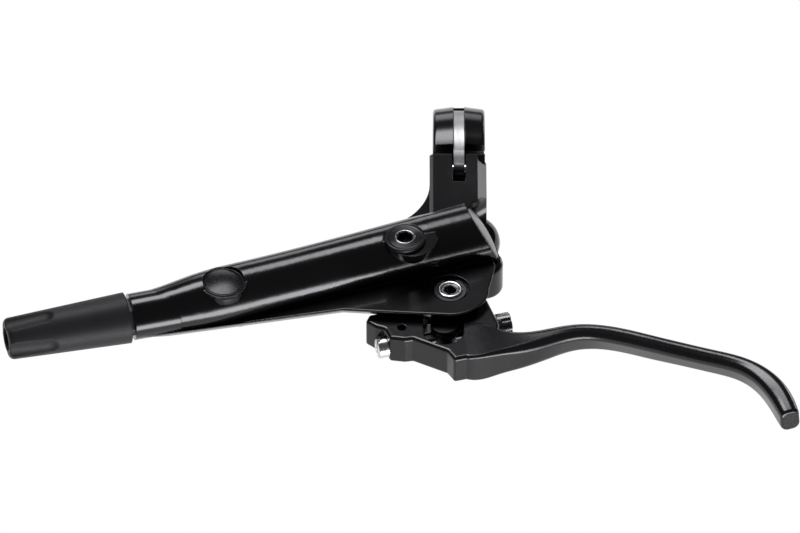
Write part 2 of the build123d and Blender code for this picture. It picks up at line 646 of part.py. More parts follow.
def lever_blade():
    """Blade with its forked root, window and reach-screw seats."""
    root = slab(ROOT_OUTLINE, -LEVER_HALF, LEVER_HALF) + pivot_post(-LEVER_HALF, LEVER_HALF, KNUCKLE_RADIUS)
    root = fillet(root.edges().filter_by(Axis.Z), ROOT_CORNER)
    root = fillet(root.edges().group_by(Axis.Z)[-1] + root.edges().group_by(Axis.Z)[0], ROOT_EDGE)
    blade = loft([blade_section(i) for i in range(len(BLADE_STATIONS))])
    blade = fillet(blade.faces().sort_by(Axis.Y)[0].edges(), TIP_ROUND)
    lever = root + blade
    hub_space = LINK_HUB_RADIUS + 1.6
    lever -= pivot_post(-PLATE_INNER, PLATE_INNER, hub_space)
    lever -= Pos(PIVOT_X, PIVOT_Y, 0) * Rot(0, 0, BODY_ANGLE) * Pos(2, 0, 0) * Box(
        2 * hub_space + 5, 20, 2 * PLATE_INNER, align=(Align.CENTER, Align.MIN, Align.CENTER)
    )
    window = Pos(BARREL_X + WINDOW_SIDE, BARREL_Y - WINDOW_FORWARD, -PLATE_INNER)
    lever -= window * extrude(RectangleRounded(*WINDOW_SIZE, WINDOW_CORNER), 20)
    lever -= BODY * Pos(0, 0, -PLATE_INNER) * extrude(lower_window(), -20)
    barrel_space = BARREL_FLANGE / 2 + FREE + SWING_PLAY
    lever -= hull_slab(
        [(PIVOT_X, PIVOT_Y, LINK_HUB_RADIUS + FREE), (BARREL_X, BARREL_Y, barrel_space)], -PLATE_INNER, PLATE_INNER
    )
    lever -= post(BARREL_X, BARREL_Y, 0, 20, barrel_space)
    lever -= post(*LIGHT_HOLE, -20, 20, 1.0)
    lever -= SCREW * rod(SCREW_SEAT - 10, SCREW_SEAT, SCREW_HEAD_DIAMETER / 2 + FREE)
    lever -= SCREW * rod(-20, 20, SCREW_DIAMETER / 2 + RUNNING)
    lever -= SCREW * rod(SCREW_STAR - 0.4, SCREW_STAR + 12, STAR_DIAMETER / 2 + FREE)
    return lever - pivot_post(-9, 9, BUSH_RADIUS + FIT)


def upper_bush():
    """Bush in the blade's upper plate."""
    return pivot_ring(PLATE_INNER, LEVER_HALF, BUSH_RADIUS, AXLE_RADIUS + RUNNING)


def lower_bush():
    """Bush in the blade's lower plate."""
    return pivot_ring(-LEVER_HALF, -PLATE_INNER, BUSH_RADIUS, AXLE_RADIUS + RUNNING)


def reach_adjust_screw():
    """Reach screw with a slotted head at the left and a toothed end at the right."""
    head = rod(SCREW_SEAT - SCREW_HEAD_LENGTH, SCREW_SEAT - CONTACT, SCREW_HEAD_DIAMETER / 2)
    head = fillet(head.edges().group_by(Axis.X)[0], 0.4)
    head -= Pos(SCREW_SEAT - SCREW_HEAD_LENGTH, 0, 0) * Box(1.6, 0.8, 10)
    star = rod(SCREW_STAR, SCREW_STAR + STAR_LENGTH, STAR_DIAMETER / 2)
    for i in range(STAR_TEETH):
        y, z = polar(STAR_DIAMETER / 2 + 0.2, 360 / STAR_TEETH * i)
        star -= rod(SCREW_STAR + 0.8, SCREW_STAR + STAR_LENGTH + 1, 0.55, y, z)
    return SCREW * (head + rod(SCREW_SEAT - CONTACT, SCREW_STAR, SCREW_DIAMETER / 2) + star)


def clamp_band():
    """Hinged clamp half with a groove for the strap and the rear lug."""
    start = LOWER_SEAM + SEAM_GAP / 2
    side = CLAMP_WIDTH / 2
    profile = [
        (-side, BAR_RADIUS), (side, BAR_RADIUS), (side, CLAMP_RADIUS - BAND_CROWN), (STRAP_WIDTH / 2, CLAMP_RADIUS),
        (-STRAP_WIDTH / 2, CLAMP_RADIUS), (-side, CLAMP_RADIUS - BAND_CROWN),
    ]
    face = Rot(start, 0, 0) * make_face(Polyline(*profile, close=True))
    band = revolve(face, Axis.X, UPPER_SEAM - SEAM_GAP / 2 - start)
    rims = band.edges().filter_by(lambda edge: abs(abs(edge.center().X) - side) < 0.01)
    rims = rims.filter_by(GeomType.CIRCLE).filter_by(lambda edge: edge.radius > BAR_RADIUS + 1)
    band = fillet(rims, BAND_ROUND) + lug(1) - Rot(0, 90, 0) * Cylinder(BAR_RADIUS, 80)
    floor = CLAMP_RADIUS - STRAP_SINK - STRAP_THICKNESS
    groove = sector(floor, CLAMP_RADIUS + 3, STRAP_END - 2, UPPER_SEAM, STRAP_WIDTH + 2 * FIT)
    return band - groove - lug_hole(BOLT_DIAMETER / 2 + FIT, 0, 30)


def clamp_strap():
    """Steel strap over the band with an eye round the hinge pin."""
    top = CLAMP_RADIUS - STRAP_SINK + FIT
    low = top - STRAP_THICKNESS
    strap = sector(low, top, STRAP_END, UPPER_SEAM, STRAP_WIDTH)
    eye_y, eye_z = polar(HINGE_RADIUS, HINGE_ANGLE)
    eye_radius = HINGE_PIN_DIAMETER / 2 + STRAP_THICKNESS
    strap += hinge_rod(eye_radius, STRAP_WIDTH)
    outward = radians(HINGE_ANGLE)
    foot = [
        polar(low, UPPER_SEAM),
        polar(top, UPPER_SEAM),
        (eye_y + eye_radius * cos(outward), eye_z + eye_radius * sin(outward)),
        (eye_y, eye_z),
    ]
    strap += side_slab(foot, -STRAP_WIDTH / 2, STRAP_WIDTH / 2)
    return strap - hinge_rod(HINGE_PIN_DIAMETER / 2 + RUNNING, 40)


def clamp_hinge_pin():
    """Pin through the fixed half's cheeks."""
    return hinge_rod(HINGE_PIN_DIAMETER / 2, CLAMP_WIDTH - 0.6)


def clamp_bolt():
    """Bolt held in the band's lug, with a socket head behind it."""
    seat = LUG_GAP / 2 + LUG_THICKNESS + WASHER_THICKNESS
    head = lug_hole(BOLT_HEAD_DIAMETER / 2, seat, seat + BOLT_HEAD_HEIGHT)
    shank = lug_hole(BOLT_DIAMETER / 2, -LUG_GAP / 2 - LUG_THICKNESS + 0.5, seat)
    socket = LUG * Pos(BOLT_RADIUS_AT, seat + BOLT_HEAD_HEIGHT) * Rot(-90, 0, 0) * hex_socket(BOLT_HEX, 2.6)
    return head + shank - socket


def clamp_bolt_washer():
    """Washer under the bolt's head."""
    low = LUG_GAP / 2 + LUG_THICKNESS
    return lug_hole(BOLT_HEAD_DIAMETER / 2 + 0.4, low, low + WASHER_THICKNESS) - lug_hole(
        BOLT_DIAMETER / 2 + FIT, low - 1, low + 3
    )


BLEED = on_tube(BLEED_X, BLEED_FORWARD, BLEED_RISE)
PLUG = on_tube(PLUG_X, PLUG_FORWARD, PLUG_RISE)

NODES = [
    master_cylinder_body, reservoir_end_cap, reservoir_bladder, bleed_screw, bleed_o_ring, reservoir_plug,
    hose_sleeve, hose_nut, hose_olive, lever_axle, axle_clip, piston_circlip, piston_stop_washer, return_spring,
    clamp_hinge_pin, piston, primary_cup, secondary_cup, push_rod, push_link, link_bush, reach_barrel_nut,
    lever_blade, upper_bush, lower_bush, reach_adjust_screw, clamp_band, clamp_strap, clamp_bolt,
    clamp_bolt_washer,
]

os.makedirs("parts", exist_ok=True)
for make in NODES:
    export_step(make(), f"parts/{make.__name__}.step")
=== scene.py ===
"""Looks of a bicycle brake lever: finishes for the CAD frame, turned stand-ins for some pieces, and a studio.

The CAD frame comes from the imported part. Lengths are metres in the part's own frame: +X along the handlebar,
+Y from the lever to the bar, +Z up.
"""

from math import atan2, cos, pi, radians, sin

import bmesh
import bpy
from bpy.props import FloatProperty, FloatVectorProperty, PointerProperty
from bpy.types import Operator, Panel, PropertyGroup
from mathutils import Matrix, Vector


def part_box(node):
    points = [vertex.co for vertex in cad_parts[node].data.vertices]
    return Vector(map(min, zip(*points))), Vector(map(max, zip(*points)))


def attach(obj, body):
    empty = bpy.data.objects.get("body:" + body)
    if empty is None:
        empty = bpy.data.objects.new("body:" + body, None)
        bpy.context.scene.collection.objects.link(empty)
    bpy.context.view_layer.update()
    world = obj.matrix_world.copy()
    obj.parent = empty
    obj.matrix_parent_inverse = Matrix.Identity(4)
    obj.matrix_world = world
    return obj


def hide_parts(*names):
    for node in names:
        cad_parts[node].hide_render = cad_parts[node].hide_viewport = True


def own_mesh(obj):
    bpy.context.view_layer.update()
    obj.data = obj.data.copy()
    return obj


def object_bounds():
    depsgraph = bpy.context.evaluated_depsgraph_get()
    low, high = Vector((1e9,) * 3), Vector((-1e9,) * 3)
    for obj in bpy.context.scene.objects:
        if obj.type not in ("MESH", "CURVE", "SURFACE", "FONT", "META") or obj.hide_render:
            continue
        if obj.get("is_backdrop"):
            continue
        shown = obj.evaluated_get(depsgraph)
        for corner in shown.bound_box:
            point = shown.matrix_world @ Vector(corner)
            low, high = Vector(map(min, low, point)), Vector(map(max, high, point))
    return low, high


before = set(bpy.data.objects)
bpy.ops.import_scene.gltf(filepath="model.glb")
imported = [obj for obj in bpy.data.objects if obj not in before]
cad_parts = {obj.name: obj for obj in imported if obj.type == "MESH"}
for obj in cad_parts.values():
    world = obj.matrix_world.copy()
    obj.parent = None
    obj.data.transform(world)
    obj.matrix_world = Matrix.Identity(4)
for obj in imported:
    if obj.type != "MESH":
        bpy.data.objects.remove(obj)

bl_info = {
    "name": "Bicycle Brake Lever",
    "version": (1, 0, 0),
    "blender": (4, 5, 0),
    "location": "View3D > Sidebar > Brake Lever",
    "description": "Finishes, turned pieces and studio for a hydraulic brake lever",
    "category": "Add Mesh",
}

MM = 0.001

# Fineness and tolerances of the turned meshes
LATHE_STEPS = 96
ROUND_STEPS = 4
BEAD_STEPS = 12
DOME_STEPS = 8
MERGE_DISTANCE = 0.001 * MM
RING_TOLERANCE = 0.01 * MM
SHARP_ANGLE = radians(40)

# Rounded edges in the materials: the mask grows as the rounded normal leaves the true one
EDGE_SAMPLES = 6
EDGE_START = 0.99
EDGE_FULL = 0.8

# Colours of the smaller pieces, worn edges and the strap foot's painted shade, as linear red, green and blue
PAINT_EDGE = (0.02, 0.02, 0.021)
BLADE_EDGE = (0.03, 0.03, 0.032)
STRAP_FOOT_SHADE = (0.09, 0.09, 0.091)
STRAP_EDGE = (0.6, 0.6, 0.595)
BARREL_DARK = (0.03, 0.03, 0.032)
BARREL_EDGE = (0.048, 0.048, 0.0512)
AXLE_FACE = (0.16, 0.16, 0.162)
AXLE_RIM = (0.7, 0.7, 0.695)
SCREW_BLACK = (0.012, 0.012, 0.0128)
SCREW_EDGE = (0.12, 0.12, 0.125)
SCREW_LIP = (0.38, 0.38, 0.383)
PLUG_BLACK = (0.004, 0.004, 0.0043)
PLUG_EDGE = (0.05, 0.05, 0.052)
REACH_BRIGHT = (0.7, 0.7, 0.69)
REACH_DARK = (0.16, 0.16, 0.163)
LINK_DARK = (0.05, 0.05, 0.052)
BRIGHT_STEEL = (0.62, 0.62, 0.61)
OXIDE_BLACK = (0.04, 0.04, 0.043)
BRONZE = (0.5, 0.33, 0.14)
PISTON_ALLOY = (0.72, 0.72, 0.74)
SEAL_BLACK = (0.008, 0.008, 0.008)
FLOOR_WHITE = (0.9, 0.9, 0.9)

# Where colours change: the strap's bend along Y (painted shade on its foot), and the reach screw's middle
# along X
STRAP_BEND = -7 * MM
STRAP_FADE = 1 * MM
REACH_SPLIT = -4 * MM
REACH_FADE = 4 * MM

# Grains per metre and slow unevenness of the plain finishes
PLAIN_GRAIN = 1500.0
PLAIN_BROAD = PLAIN_GRAIN / 12
SCRATCHES_ALONG = (1.0, 0.04, 0.3)

# Soft boxes: name, direction from the part, width and depth, and the setting that holds the power
LIGHT_DISTANCE = 0.6
LIGHTS = (
    ("key_light", (-0.2, 0.39, 0.9), (0.54, 0.32), "key_power"),
    ("back_light", (-0.05, 0.93, 0.3), (0.38, 0.26), "back_power"),
    ("front_light", (0.3, -0.88, -0.36), (0.7, 0.32), "front_power"),
    ("right_light", (0.67, 0.74, 0.06), (0.25, 0.15), "side_power"),
)
HALF_WIDTH = 0.5
FADE_WIDTH = 0.3

FLOOR_HALF = 6.0
FLOOR_ROUGHNESS = 0.9
CLIP_RATIO = 10


class LeverFinish(PropertyGroup):
    """Colours and surface of the main pieces."""

    body_colour: FloatVectorProperty(
        name="Body Colour", description="Paint of the cast body",
        default=(0.003, 0.003, 0.0033), subtype="COLOR",
    )
    body_roughness: FloatProperty(
        name="Body Roughness", description="Gloss of the cast body", default=0.17, min=0.0, max=1.0,
    )
    lever_colour: FloatVectorProperty(
        name="Lever Colour", description="Satin black of the blade",
        default=(0.006, 0.006, 0.0065), subtype="COLOR",
    )
    lever_roughness: FloatProperty(
        name="Lever Roughness", description="Gloss of the blade", default=0.18, min=0.0, max=1.0,
    )
    strap_colour: FloatVectorProperty(
        name="Strap Colour", description="Steel of the clamp's strap",
        default=(0.38, 0.38, 0.375), subtype="COLOR",
    )
    cap_colour: FloatVectorProperty(
        name="Cap Colour", description="Grey of the reservoir's end cap",
        default=(0.28, 0.28, 0.283), subtype="COLOR",
    )
    sleeve_colour: FloatVectorProperty(
        name="Sleeve Colour", description="Rubber of the hose sleeve",
        default=(0.014, 0.014, 0.0148), subtype="COLOR",
    )
    edge_radius: FloatProperty(
        name="Edge Radius", description="Rounding that edges show in the light",
        default=0.3 * MM, unit="LENGTH",
    )


class LeverTurned(PropertyGroup):
    """Sizes of the turned bleed screw, axle and plug."""

    screw_head: FloatProperty(
        name="Screw Head", description="Height of the bleed screw's head",
        default=1.1 * MM, unit="LENGTH",
    )
    screw_thread: FloatProperty(
        name="Screw Thread", description="Radius of the bleed screw's thread",
        default=2.0 * MM, unit="LENGTH",
    )
    socket: FloatProperty(
        name="Socket", description="Width across the flats of the bleed screw's socket",
        default=3.0 * MM, unit="LENGTH",
    )
    socket_depth: FloatProperty(
        name="Socket Depth", description="Depth of the bleed screw's socket",
        default=1.8 * MM, unit="LENGTH",
    )
    socket_turn: FloatProperty(
        name="Socket Turn", description="Turn of both hexagon sockets in the plan",
        default=radians(20.0), subtype="ANGLE",
    )
    lip_radius: FloatProperty(
        name="Lip Radius", description="Radius of the lip round the bleed screw's socket",
        default=2.1 * MM, unit="LENGTH",
    )
    lip_width: FloatProperty(
        name="Lip Width", description="Width of the lip round the bleed screw's socket",
        default=0.36 * MM, unit="LENGTH",
    )
    lip_height: FloatProperty(
        name="Lip Height", description="Height of the lip round the bleed screw's socket",
        default=0.16 * MM, unit="LENGTH",
    )
    ring_pitch: FloatProperty(
        name="Ring Pitch", description="Distance between the turning rings",
        default=0.45 * MM, unit="LENGTH",
    )
    ring_depth: FloatProperty(
        name="Ring Depth", description="Depth of the turning rings",
        default=0.05 * MM, unit="LENGTH",
    )
    seal_width: FloatProperty(
        name="Seal Width", description="Width of the seal's groove under the head",
        default=1.1 * MM, unit="LENGTH",
    )
    seal_height: FloatProperty(
        name="Seal Height", description="Height of the seal's groove under the head",
        default=0.7 * MM, unit="LENGTH",
    )
    plug_rim: FloatProperty(
        name="Plug Rim", description="Width of the plug's raised rim",
        default=0.5 * MM, unit="LENGTH",
    )
    plug_crown: FloatProperty(
        name="Plug Crown", description="Rise of the plug's domed middle",
        default=0.5 * MM, unit="LENGTH",
    )
    axle_radius: FloatProperty(
        name="Axle Radius", description="Radius of the lever's axle",
        default=2.8 * MM, unit="LENGTH",
    )
    axle_head: FloatProperty(
        name="Axle Head", description="Height of the axle's lower head",
        default=1.2 * MM, unit="LENGTH",
    )
    axle_rim: FloatProperty(
        name="Axle Rim", description="Width of the axle's raised rim",
        default=0.9 * MM, unit="LENGTH",
    )
    axle_crest: FloatProperty(
        name="Axle Crest", description="Height of the axle's raised rim",
        default=0.35 * MM, unit="LENGTH",
    )
    axle_socket: FloatProperty(
        name="Axle Socket", description="Width across the flats of the axle's socket",
        default=2.5 * MM, unit="LENGTH",
    )
    axle_depth: FloatProperty(
        name="Axle Socket Depth", description="Depth of the axle's socket",
        default=2.2 * MM, unit="LENGTH",
    )
    clip_width: FloatProperty(
        name="Clip Groove Width", description="Width of the clip's groove in the axle",
        default=0.45 * MM, unit="LENGTH",
    )
    clip_depth: FloatProperty(
        name="Clip Groove Depth", description="Depth of the clip's groove in the axle",
        default=0.35 * MM, unit="LENGTH",
    )
    round_edge: FloatProperty(
        name="Round Edge", description="Rounding of the outer edges",
        default=0.3 * MM, unit="LENGTH",
    )


class LeverStudio(PropertyGroup):
    """Camera, floor and lights."""

    elevation: FloatProperty(
        name="Elevation", description="Camera's angle above the horizon",
        default=radians(42.0), subtype="ANGLE",
    )
    frame_width: FloatProperty(
        name="Frame Width", description="Width of the picture at the target",
        default=0.1778, unit="LENGTH",
    )
    lens: FloatProperty(
        name="Lens", description="Focal length in millimetres", default=500.0, unit="CAMERA",
    )
    target: FloatVectorProperty(
        name="Target", description="Point in the middle of the picture",
        default=(-0.0132, -0.036, 0.0039), unit="LENGTH",
    )
    key_power: FloatProperty(
        name="Key Power", description="Overhead light", default=6.2, unit="POWER",
    )
    back_power: FloatProperty(
        name="Back Power", description="Low light behind", default=0.75, unit="POWER",
    )
    front_power: FloatProperty(
        name="Front Power", description="Light below in front", default=8.6, unit="POWER",
    )
    side_power: FloatProperty(
        name="Side Power", description="Low light behind on the right", default=0.6, unit="POWER",
    )
    room: FloatProperty(name="Room", description="Even light of the room", default=0.07)
    tint: FloatVectorProperty(
        name="Tint", description="Slightly cool colour of the lights",
        default=(0.96, 0.955, 1.0), subtype="COLOR",
    )
    floor_drop: FloatProperty(
        name="Floor Drop", description="Gap between the part and the floor",
        default=360 * MM, unit="LENGTH",
    )


class Recipe:
    """Node material on the part's own coordinates, built up a node at a time."""

    def __init__(self, name, colour, roughness, metallic=0.0):
        self.material = bpy.data.materials.new(name)
        self.material.use_nodes = True
        self.nodes = self.material.node_tree.nodes
        self.links = self.material.node_tree.links
        self.shader = self.nodes["Principled BSDF"]
        self.place = self.add("ShaderNodeTexCoord").outputs["Object"]
        self.colour = tuple(colour)
        self.roughness = roughness
        self.finish({"Base Color": self.colour, "Roughness": roughness, "Metallic": metallic})

    def add(self, kind, values=None, **settings):
        """New node with its settings, and its inputs set or linked."""
        node = self.nodes.new(kind)
        for key, value in settings.items():
            setattr(node, key, value)
        self.fill(node, values or {})
        return node

    def fill(self, node, values):
        """Sets or links inputs of a node by their names or numbers."""
        for key, value in values.items():
            self.put(node.inputs[key], value)

    def put(self, socket, value):
        """Links an input to another node's output, or writes a value or a colour into it."""
        if isinstance(value, bpy.types.NodeSocket):
            self.links.new(value, socket)
        elif socket.type == "RGBA":
            socket.default_value = (*value, 1.0)
        else:
            socket.default_value = value

    def finish(self, values):
        """Sets or links inputs of the shader, and gives the material."""
        self.fill(self.shader, values)
        return self.material

    def noise(self, scale, detail=2.0, stretch=(1.0, 1.0, 1.0)):
        """Noise of a given fineness, drawn out along the axes with the smaller numbers."""
        mapping = self.add("ShaderNodeMapping", {"Vector": self.place, "Scale": stretch})
        values = {"Vector": mapping.outputs[0], "Scale": scale, "Detail": detail}
        return self.add("ShaderNodeTexNoise", values).outputs["Fac"]

    def spread(self, value, low, high, start=0.3, stop=0.7):
        """Value carried from one range to another."""
        ends = {"Value": value, "From Min": start, "From Max": stop, "To Min": low, "To Max": high}
        return self.add("ShaderNodeMapRange", ends).outputs["Result"]

    def uneven(self, pattern, swing):
        """Roughness that wanders about its middle with a pattern."""
        return self.spread(pattern, self.roughness - swing, self.roughness + swing)

    def past(self, value, place, fade):
        """Mask that rises from 0 to 1 as a value passes a place."""
        return self.spread(value, 0.0, 1.0, place - fade, place + fade)

    def before(self, value, place, fade):
        """Mask that falls from 1 to 0 as a value passes a place."""
        return self.spread(value, 1.0, 0.0, place - fade, place + fade)

    def math(self, operation, first, second=0.0):
        """Result of an operation on one or two values."""
        return self.add("ShaderNodeMath", {0: first, 1: second}, operation=operation).outputs[0]

    def share(self, mask, amount):
        """Weaker copy of a mask."""
        return self.math("MULTIPLY", mask, amount)

    def vector(self, operation, first, second):
        """Outputs of an operation on two vectors."""
        return self.add("ShaderNodeVectorMath", {0: first, 1: second}, operation=operation).outputs

    def blend(self, amount, first, second):
        """Colour between two."""
        node = self.add("ShaderNodeMix", {"Factor": amount}, data_type="RGBA")
        ends = [socket for socket in node.inputs if socket.type == "RGBA"]
        for socket, value in zip(ends, (first, second)):
            self.put(socket, value)
        return next(socket for socket in node.outputs if socket.type == "RGBA")

    def tint(self, pattern, factor):
        """Base colour that wanders to a lighter or darker one with a pattern."""
        other = tuple(min(1.0, part * factor) for part in self.colour)
        return self.blend(pattern, self.colour, other)

    def soft_normal(self, radius):
        """Normal that rounds the edges."""
        return self.add("ShaderNodeBevel", {"Radius": radius}, samples=EDGE_SAMPLES).outputs["Normal"]

    def edge_of(self, normal):
        """Mask of the edges that a normal rounds."""
        true = self.add("ShaderNodeNewGeometry").outputs["Normal"]
        likeness = self.vector("DOT_PRODUCT", normal, true)["Value"]
        return self.spread(likeness, 1.0, 0.0, EDGE_FULL, EDGE_START)

    def relief(self, height, strength, distance, normal=None):
        """Fine bumps on the surface."""
        values = {"Height": height, "Strength": strength, "Distance": distance}
        if normal:
            values["Normal"] = normal
        return self.add("ShaderNodeBump", values).outputs["Normal"]

    def along(self, axis):
        """Place along one axis."""
        return self.add("ShaderNodeSeparateXYZ", {0: self.place}).outputs[axis]

    def radius_from(self, centre):
        """Distance from an upright axis."""
        flat = self.vector("MULTIPLY", self.place, (1, 1, 0))["Vector"]
        return self.vector("DISTANCE", flat, (*centre, 0))["Value"]

    def rings(self, radius, pitch):
        """Wave between 0 and 1 with one crest for each pitch of a radius."""
        wave = self.math("SINE", self.math("MULTIPLY", radius, 2 * pi / pitch))
        return self.spread(wave, 0.0, 1.0, -1.0, 1.0)


def gloss_paint(look):
    """Glossy black paint on a casting: faint ripple, uneven gloss and thinner paint on the edges."""
    mix = Recipe("gloss_black_paint", look.body_colour, look.body_roughness)
    fine = mix.noise(scale=1400.0)
    broad = mix.noise(scale=70.0, detail=3.0)
    normal = mix.soft_normal(look.edge_radius)
    edge = mix.edge_of(normal)
    worn = mix.math("MULTIPLY", edge, mix.spread(fine, low=0.0, high=0.6))
    return mix.finish({
        "Base Color": mix.blend(worn, mix.tint(broad, factor=2.0), PAINT_EDGE),
        "Roughness": mix.math("ADD", mix.uneven(broad, swing=0.03), mix.share(edge, amount=0.06)),
        "Coat Weight": 0.15,
        "Coat Roughness": 0.08,
        "Specular IOR Level": 0.32,
        "Normal": mix.relief(fine, strength=0.05, distance=0.01 * MM, normal=normal),
    })


def satin_black(look):
    """Fine-grained satin black of the forged blade."""
    smooth = look.lever_roughness - 0.05
    coarse = look.lever_roughness + 0.07
    mix = Recipe("satin_black", look.lever_colour, look.lever_roughness)
    grain = mix.noise(scale=4200.0, detail=3.0)
    broad = mix.noise(scale=90.0, detail=3.0)
    normal = mix.soft_normal(look.edge_radius)
    worn = mix.share(mix.edge_of(normal), amount=0.5)
    return mix.finish({
        "Base Color": mix.blend(worn, mix.tint(broad, factor=1.8), BLADE_EDGE),
        "Roughness": mix.spread(grain, smooth, coarse),
        "Specular IOR Level": 0.4,
        "Normal": mix.relief(grain, strength=0.07, distance=0.02 * MM, normal=normal),
    })


def strap_steel(look):
    """Steel strap with fine scratches along it, and painted shade on its foot in front of its bend."""
    mix = Recipe("strap_steel", look.strap_colour, roughness=0.43, metallic=1.0)
    scratch = mix.noise(scale=900.0, detail=3.0, stretch=SCRATCHES_ALONG)
    # Painted shade: darkens the strap's colour on its foot in front of the bend
    foot_shade = mix.before(mix.along("Y"), STRAP_BEND, STRAP_FADE)
    plate = mix.blend(foot_shade, mix.tint(scratch, factor=0.86), STRAP_FOOT_SHADE)
    normal = mix.soft_normal(look.edge_radius / 2)
    worn = mix.share(mix.edge_of(normal), amount=0.4)
    return mix.finish({
        "Base Color": mix.blend(worn, plate, STRAP_EDGE),
        "Roughness": mix.uneven(scratch, swing=0.07),
        "Normal": mix.relief(scratch, strength=0.12, distance=0.01 * MM, normal=normal),
    })


def barrel_metal(look, centre):
    """Dark metal of the barrel nut with fine rings from the lathe."""
    mix = Recipe("barrel_nut", BARREL_DARK, roughness=0.35, metallic=0.8)
    rings = mix.rings(mix.radius_from(centre), pitch=0.5 * MM)
    normal = mix.soft_normal(look.edge_radius / 2)
    worn = mix.share(mix.edge_of(normal), amount=0.5)
    return mix.finish({
        "Base Color": mix.blend(worn, mix.tint(rings, factor=0.8), BARREL_EDGE),
        "Roughness": mix.uneven(mix.noise(scale=1800.0), swing=0.05),
        "Normal": mix.relief(rings, strength=0.15, distance=0.02 * MM, normal=normal),
    })


def rimmed_steel(look, centre, inside):
    """Turned steel of the lever's axle, polished on the rim that starts at a radius."""
    mix = Recipe("axle_steel", AXLE_FACE, roughness=0.24, metallic=1.0)
    radius = mix.radius_from(centre)
    rings = mix.rings(radius, pitch=0.35 * MM)
    rim = mix.past(radius, inside, fade=0.1 * MM)
    normal = mix.soft_normal(look.edge_radius / 3)
    return mix.finish({
        "Base Color": mix.blend(rim, mix.tint(rings, factor=1.6), AXLE_RIM),
        "Roughness": mix.uneven(mix.noise(scale=1800.0), swing=0.04),
        "Normal": mix.relief(rings, strength=0.05, distance=0.02 * MM, normal=normal),
    })


def screw_steel(look, centre, lip, width):
    """Blackened satin steel of the bleed screw, polished on the lip round its socket."""
    black, polished = 0.4, 1.0
    mix = Recipe("bleed_screw_steel", SCREW_BLACK, roughness=0.23, metallic=black)
    speck = mix.noise(scale=2200.0)
    broad = mix.noise(scale=300.0, detail=3.0)
    normal = mix.soft_normal(look.edge_radius / 4)
    worn = mix.share(mix.edge_of(normal), amount=0.7)
    face = mix.blend(worn, mix.tint(broad, factor=1.6), SCREW_EDGE)
    off_lip = mix.math("ABSOLUTE", mix.math("SUBTRACT", mix.radius_from(centre), lip))
    polish = mix.before(off_lip, width / 2, fade=0.05 * MM)
    return mix.finish({
        "Base Color": mix.blend(polish, face, SCREW_LIP),
        "Metallic": mix.spread(polish, black, polished, 0.0, 1.0),
        "Roughness": mix.uneven(speck, swing=0.05),
        "Specular IOR Level": 0.22,
        "Normal": mix.relief(speck, strength=0.08, distance=0.01 * MM, normal=normal),
    })


def moulded_black(look):
    """Moulded black plastic of the plug, lighter on its edges."""
    mix = Recipe("plug_black", PLUG_BLACK, roughness=0.25)
    speck = mix.noise(scale=2400.0)
    normal = mix.soft_normal(look.edge_radius / 3)
    worn = mix.share(mix.edge_of(normal), amount=0.6)
    return mix.finish({
        "Base Color": mix.blend(worn, mix.tint(speck, factor=1.8), PLUG_EDGE),
        "Roughness": mix.uneven(speck, swing=0.05),
        "Specular IOR Level": 0.25,
        "Normal": mix.relief(speck, strength=0.1, distance=0.01 * MM, normal=normal),
    })


def two_tone_steel(look):
    """Steel of the reach screw: bright head, darker towards its toothed end."""
    mix = Recipe("reach_screw_steel", REACH_BRIGHT, roughness=0.27, metallic=1.0)
    speck = mix.noise(scale=1200.0)
    dark = mix.past(mix.along("X"), REACH_SPLIT, REACH_FADE)
    normal = mix.soft_normal(look.edge_radius / 2)
    return mix.finish({
        "Base Color": mix.blend(dark, mix.tint(speck, factor=0.85), REACH_DARK),
        "Roughness": mix.uneven(speck, swing=0.07),
        "Normal": mix.relief(speck, strength=0.08, distance=0.01 * MM, normal=normal),
    })


def sleeve_rubber(look):
    """Matte moulded rubber with a soft sheen."""
    mix = Recipe("sleeve_rubber", look.sleeve_colour, roughness=0.51)
    fine = mix.noise(scale=2600.0, detail=3.0)
    broad = mix.noise(scale=160.0, detail=3.0)
    normal = mix.soft_normal(2 * look.edge_radius)
    return mix.finish({
        "Base Color": mix.tint(broad, factor=1.5),
        "Roughness": mix.uneven(fine, swing=0.07),
        "Sheen Weight": 0.05,
        "Sheen Roughness": 0.4,
        "Specular IOR Level": 0.22,
        "Normal": mix.relief(fine, strength=0.25, distance=0.02 * MM, normal=normal),
    })


def plain_finish(name, colour, roughness, metallic=0.0, bump=0.1, edge=0.0):
    """Moulded, turned or cut surface with an even grain, and rounded edges where a radius is given."""
    mix = Recipe(name, colour, roughness, metallic)
    speck = mix.noise(scale=PLAIN_GRAIN)
    broad = mix.noise(scale=PLAIN_BROAD, detail=3.0)
    normal = mix.soft_normal(edge) if edge else None
    return mix.finish({
        "Base Color": mix.tint(broad, factor=1.35),
        "Roughness": mix.uneven(speck, swing=0.06),
        "Normal": mix.relief(speck, strength=bump, distance=0.02 * MM, normal=normal),
    })


def dress(material, *names):
    """Gives CAD nodes their finish."""
    for node in names:
        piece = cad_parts[node]
        piece.data.materials.clear()
        piece.data.materials.append(material)


def middle_of(node):
    """Middle of a CAD node in the plan."""
    low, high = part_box(node)
    return tuple((low + high) / 2)[:2]


def fractions(steps):
    """Even steps from 0 to 1."""
    return [i / steps for i in range(steps + 1)]


def rounded(radius, top, edge):
    """Quarter round from a flat top to an upright side."""
    angles = [pi / 2 * part for part in fractions(ROUND_STEPS)]
    return [(radius - edge + edge * sin(a), top - edge + edge * cos(a)) for a in angles]


def bead(inside, outside, base, height):
    """Half round between two radii, from its inner foot to its outer one."""
    middle = (inside + outside) / 2
    half = (outside - inside) / 2
    angles = [pi * part for part in fractions(BEAD_STEPS)]
    return [(middle - half * cos(a), base + height * sin(a)) for a in angles]


def socket_rows(width, floor, face, chamfer):
    """Half section of a round socket, from the middle of its floor to its chamfered mouth."""
    wall = width / 2
    return [(0, floor), (wall, floor), (wall, face - chamfer), (wall + chamfer, face)]


